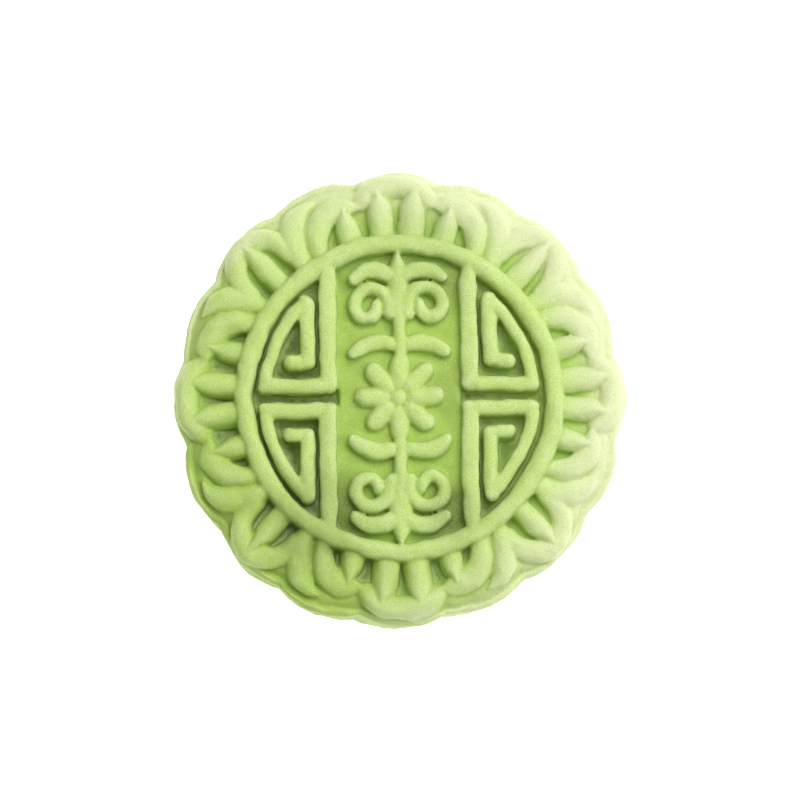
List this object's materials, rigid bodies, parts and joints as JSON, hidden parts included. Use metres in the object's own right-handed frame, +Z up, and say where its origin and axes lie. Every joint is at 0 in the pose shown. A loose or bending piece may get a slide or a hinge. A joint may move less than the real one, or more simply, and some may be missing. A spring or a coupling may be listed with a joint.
{
  "type": "snow-skin mooncake",
  "caption": "Round green snow-skin mooncake with scalloped sides, a leaf and arch border, fretwork corners and a raised flower ornament.",
  "frame": {"origin": "centre of the flat base", "axes": "+Z up through the pressed top, +Y towards the top of the pattern, +X to its right"},
  "size_m": [0.075, 0.075, 0.032],
  "materials": {
    "snow_skin_dough": "matte floury green glutinous rice dough, soft and slightly translucent"
  },
  "bodies": {
    "root": {"mooncake": "snow_skin_dough"}
  },
  "joints": []
}
